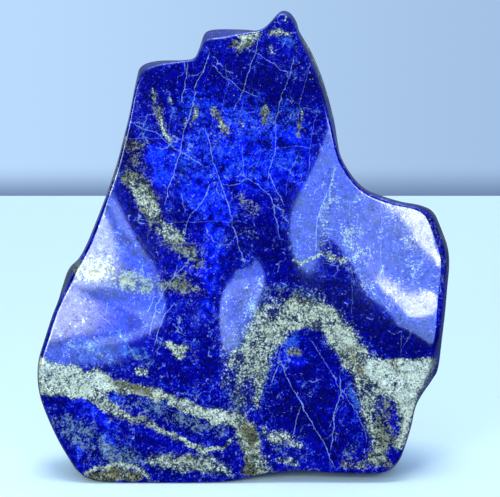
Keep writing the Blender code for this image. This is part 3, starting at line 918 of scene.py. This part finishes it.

# %% [markdown]
# ## Calcite and its neighbours
#
# Calcite is pale grey to cream and sugary: tiny cells of different lightness, with grey and
# blue grains caught between them. A random few of the finest cells are turned milk white as
# painted glints, and the purest calcite is whiter in its own colour. The olive parts are
# calcite mixed with pyrite and dark minerals, so they use darker and browner cells. Round each
# patch lies a haze of the finest calcite in the blue, which the halo and dust maps place.

# %% Sugary calcite, olive and brown
CREAM = (0.55, 0.54, 0.42, 1)
# milk white: the purest calcite's own white, and painted glints in a few fine cells
MILK_AND_GLINT = (0.82, 0.84, 0.74, 1)
ASH = (0.04, 0.06, 0.075, 1)
SLATE = (0.012, 0.022, 0.05, 1)
OLIVE_LIGHT = (0.25, 0.25, 0.15, 1)
OLIVE_DARK = (0.012, 0.016, 0.016, 1)
UMBER = (0.15, 0.11, 0.035, 1)
HAZE_DARK = (0.010, 0.03, 0.11, 1)
HAZE_LIGHT = (0.17, 0.22, 0.23, 1)

purity = rock.map("calcite")
mottle = curd * 2.6 + grain * 3.6 + (fine_2 - 0.5) * 0.5
sugar = (mottle * (1.15 - purity * 0.45) + purity * 0.62 - 0.08).rise(0, 1)
pale = rock.blend(ASH, CREAM, sugar)
# painted glints: a random few fine cells turned milk white; the purest calcite whiter too
pale = rock.blend(pale, MILK_AND_GLINT, fine_3.rise(0.84, 0.97) * 0.6 | purity.rise(0.85, 1.0) * 0.4)
pale = rock.blend(pale, OLIVE_LIGHT, (patch * 1.6 + curd + fine_1 * 0.5).rise(0.1, 0.7) * 0.4)
pale = rock.blend(pale, OLIVE_DARK, (1 - (fine_3 + grain * 1.5).rise(0.0, 0.25)) * 0.7)
shade = (fine_1 * 0.5 + grain * 2.4 + curd * 2.4 + 0.22).rise(0.1, 1.0)
mixed = rock.blend(OLIVE_DARK, OLIVE_LIGHT, shade)
ochre = rock.blend(OLIVE_DARK, UMBER, shade)
haze = rock.blend(HAZE_DARK, HAZE_LIGHT, (mottle + 0.42).rise(0, 1))
halo = drawn("halo", fine_1, mid_2, 1.5)
colour = rock.blend(blue, SLATE, purity.rise(0.15, 0.8) * 0.75)
colour = rock.blend(colour, haze, (dust | halo) * 0.85)
colour = rock.blend(colour, mixed, olive * 0.9)
colour = rock.blend(colour, pale, calcite * (0.75 + sugar * 0.25))
colour = rock.blend(colour, ochre, brown * 0.85)
print("calcite and olive ready")

# %% [markdown]
# ## Veins and pyrite
#
# A vein is drawn where its signed distance is close to zero. Noise bends it a little and
# starves it here and there, because a healed crack is never ruled with a pen. Hair cracks, too
# fine to draw one by one, are the edges of large bent cells, shown where a noise lets them.
# Pyrite comes as single crystals: a random few of the cells show a small bright dot.

# %% Threads and specks
VEIN_PALE = (0.24, 0.30, 0.52, 1)
SPECK_PALE = (0.16, 0.19, 0.22, 1)
PYRITE = (0.30, 0.25, 0.11, 1)
wobble = patch * 3.0 + curd * 1.2
threads = None
for half in range(LAYERS // 3):
    gaps = rock.layers("vein_distance_%d" % half)
    strengths = rock.layers("vein_strength_%d" % half)
    for gap, power in zip(gaps, strengths):
        line = (1 - (abs(gap + wobble) - power * 0.06).rise(0.0, 0.16)) * power
        threads = line if threads is None else threads | line
threads = (threads * (1.0 + curd * 2.0 + patch * 1.5 + (fine_2 - 0.5) * 0.8)).rise(0.0, 0.9)
colour = rock.blend(colour, VEIN_PALE, threads * 0.8)
crack = rock.node("ShaderNodeTexVoronoi", {"feature": "DISTANCE_TO_EDGE"},
                  {"Vector": rock.bent(6, 9), "Scale": 1 / (15 * MM)})
hairs = (1 - crack.rise(0.004, 0.014)) * (cloud * 1.2 + patch * 2.0 + curd * 2.0).rise(0.0, 0.4)
colour = rock.blend(colour, VEIN_PALE, hairs * 0.7)

speck_gap, speck_shade, speck_kind, speck_size = rock.crystals(1.3, bent_place)
specks = 1 - (speck_gap - speck_size * 0.14).rise(0.05, 0.17)
likely = speck_shade + patch * 1.4 + curd * 1.2 - calm * 0.2 - mixed_rock * 0.6
specks = specks * likely.rise(0.60, 0.95)
gold = specks * speck_kind.rise(0.45, 0.55)
colour = rock.blend(colour, SPECK_PALE, specks * 0.8)
colour = rock.blend(colour, PYRITE, gold * 0.8)
rock.feed(rock.shader.inputs["Base Color"], colour)
print("veins and pyrite ready:", len(rock.tree.nodes), "nodes")

# %% [markdown]
# ## Polish
#
# Polished lapis is almost a mirror. Calcite is softer than lazurite and loses a little of its
# gloss, so roughness follows the masks. Crumbs, pits and a share of the fine grains mirror less
# than the rest: a metal mirrors only in its own colour, which here is dark, so metallic is
# raised there. A very low bump lets reflections shimmer: broad waves from the wheel, and small
# steps where grains of different hardness meet.

# %% Roughness and bump
rough = 0.05 + calcite * 0.08 + olive * 0.05 + fine_1 * 0.015
rock.feed(rock.shader.inputs["Roughness"], rough)
dull = (fine_2 * 0.8 - grain * 2.0 - curd * 0.8).rise(0.1, 1.1) * 0.5 + pits * 0.4 + crumbs * 0.3
rock.feed(rock.shader.inputs["Metallic"], gold * 0.15 + dull * (0.85 - calcite * 0.6))
rock.shader.inputs["IOR"].default_value = 1.5
height = rock.noise(9, 1.0) * 0.012 + grain * 0.006 * (0.4 + calcite) + fine_1 * 0.002
bump = rock.node("ShaderNodeBump", {}, {"Strength": 1.0, "Distance": MM, "Height": height})
rock.feed(rock.shader.inputs["Normal"], bump)
lapis_mesh.materials.append(rock.material)
print("polish set")

# %% [markdown]
# ## The studio
#
# A pale table, a pale backdrop and a few soft panels. The polished faces are mirrors, so the
# panels are placed by where the faces look: the scooped right lobe looks up and to the right,
# the dished left side looks to the left, and the flat middle looks back past the camera, where
# nothing is lit. That is why the middle stays deep blue. The backdrop lights the stone evenly,
# but its mirror sees a dim room in its place: bright only overhead, which draws a line along
# the upper rims, and faintly pale behind the stone, for rims seen at a glance.

# %% Table and backdrop
WALL_LEFT = (0.50, 0.72, 1.0, 1)
WALL_RIGHT = (0.36, 0.53, 0.78, 1)
WALL_FOOT = (0.14, 0.22, 0.40, 1)           # shaded strip where the wall meets the table
ROOM_DARK = (0.010, 0.012, 0.020, 1)
ROOM_HIGH = (0.30, 0.42, 0.85, 1)
OVERHEAD = (3.0, 4.4, 8.0, 1)
BEHIND_SHARE = 0.3                          # how much of the wall the stone's rims mirror

table_mesh = bpy.data.meshes.new("table")
half = 3.0
table_mesh.from_pydata([(-half, -half, 0), (half, -half, 0), (half, half, 0), (-half, half, 0)],
                       [], [(0, 1, 2, 3)])
table = put("table", table_mesh)
table.visible_glossy = False
white = Finish("pale_table")
white.shader.inputs["Base Color"].default_value = (0.82, 0.92, 0.94, 1)
white.shader.inputs["Roughness"].default_value = 0.6
table_mesh.materials.append(white.material)

world = bpy.data.worlds.new("studio")
world.use_nodes = True
bpy.context.scene.world = world
room = Wiring(world.node_tree)
to_the_right, ahead, upwards = room.parts(room.node("ShaderNodeTexCoord", {}, {}, "Generated"))
wall = room.blend(WALL_LEFT, WALL_RIGHT, to_the_right.rise(-0.3, 0.3))
wall = room.blend(WALL_FOOT, wall, upwards.rise(-0.044, -0.008))
dim_room = room.blend(ROOM_DARK, ROOM_HIGH, upwards.rise(0.25, 0.75))
dim_room = room.blend(dim_room, OVERHEAD, upwards.rise(0.78, 0.96))
dim_room = room.blend(dim_room, wall, ahead.rise(0.5, 1.0) * BEHIND_SHARE)
mirrored = room.node("ShaderNodeLightPath", {}, {}, "Is Glossy Ray")
room.feed(world.node_tree.nodes["Background"].inputs["Color"], room.blend(wall, dim_room, mirrored))
print("table and backdrop ready")

# %% Soft panels
PANELS_AT = -0.55             # how far in front of the stone the panels stand


def panel(name, glow, across, up, fades=(0, 0, 0, 0), nearer=0.0):
    """An upright panel that faces the stone, given by its radiance and its edges.

    Each fade is the width over which the panel's glow rises from nothing, counted from its
    left, right, lower and upper edge. The glow is the product of these smooth steps. A panel
    in front of another stands a little nearer to the stone, and its glow adds to the other's.
    With pi watts for each square metre, the radiance is the light's colour.
    """
    wide, tall = across[1] - across[0], up[1] - up[0]
    light = bpy.data.lights.new(name, "AREA")
    light.shape = "RECTANGLE"
    light.size = wide
    light.size_y = tall
    light.color = glow
    light.energy = math.pi * wide * tall
    light.use_nodes = True
    lamp = Wiring(light.node_tree)
    along, above, _ = lamp.parts(lamp.node("ShaderNodeNewGeometry", {}, {}, "Parametric"))
    strength = 1.0
    for share, size, fade in ((along, wide, fades[0]), (1 - along, wide, fades[1]),
                              (above, tall, fades[2]), (1 - above, tall, fades[3])):
        if fade:
            strength = share.rise(0, fade / size) * strength
    lamp.feed(light.node_tree.nodes["Emission"].inputs["Strength"], strength)
    holder = put(name, light)
    holder.location = (sum(across) / 2, nearer + PANELS_AT, sum(up) / 2)
    holder.rotation_euler = (math.pi / 2, 0, 0)


SKY_GLOW = (3.1, 5.5, 9.5)
BRIGHT_GLOW = (19.5, 21.0, 12.5)
EVENING_GLOW = (2.1, 3.9, 7.1)
LAMP_GLOW = (13.5, 15.5, 10.5)
VEIL_GLOW = (12.0, 13.5, 9.5)
WINDOW_GLOW = (2.8, 3.6, 4.0)
panel("right_sky", SKY_GLOW, (0.135, 0.32), (0.165, 0.34))
panel("right_lamp", BRIGHT_GLOW, (0.195, 0.30), (0.24, 0.32), nearer=0.001)
panel("left_sky", EVENING_GLOW, (-0.34, -0.105), (0.092, 0.38), (0, 0.01, 0, 0.21))
panel("left_lamp", LAMP_GLOW, (-0.34, -0.21), (0.092, 0.36), (0, 0.04, 0, 0.06), nearer=0.001)
panel("left_veil", VEIL_GLOW, (-0.34, -0.13), (0.24, 0.36), (0, 0.07, 0.05, 0.03), nearer=0.002)
panel("left_window", WINDOW_GLOW, (-0.18, -0.105), (0.155, 0.24), (0.03, 0, 0.02, 0.02),
      nearer=0.003)

ceiling = bpy.data.lights.new("ceiling", "SUN")
ceiling.energy = 1.2
ceiling.angle = math.radians(20)
ceiling.color = (0.90, 1.0, 0.86)
put("ceiling", ceiling).rotation_euler = (math.radians(8), 0, 0)
print("six soft panels and a pale ceiling")

# %% [markdown]
# ## The camera
#
# The camera looks square onto the slab from 45 cm, so it is pitched down by the slab's lean.
# Its lens is worked out so that one picture unit is 0.42 mm at the girdle.

# %% Camera
camera = bpy.data.cameras.new("camera")
camera.sensor_fit = "HORIZONTAL"
camera.sensor_width = 36
camera.lens = camera.sensor_width / (2 * PICTURE_MIDDLE[0] * UNIT) * VIEW_FROM
camera.clip_start = 0.01
camera_holder = put("camera", camera)
aim = stood_up(np.array([[SLAB_MIDDLE[0], 0.0, SLAB_MIDDLE[1]]]))[0] + shift
away = np.array([0, -math.cos(LEAN), math.sin(LEAN)]) * VIEW_FROM
camera_holder.location = aim + away
camera_holder.rotation_euler = (math.radians(90) - LEAN, 0, 0)
bpy.context.scene.camera = camera_holder
bpy.context.scene.view_settings.view_transform = "Standard"
print("camera at", np.round(camera_holder.location, 3), "lens %.1f mm" % camera.lens)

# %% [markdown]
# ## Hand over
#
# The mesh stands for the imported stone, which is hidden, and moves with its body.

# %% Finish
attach(lapis, "root")
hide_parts("lapis_stone")
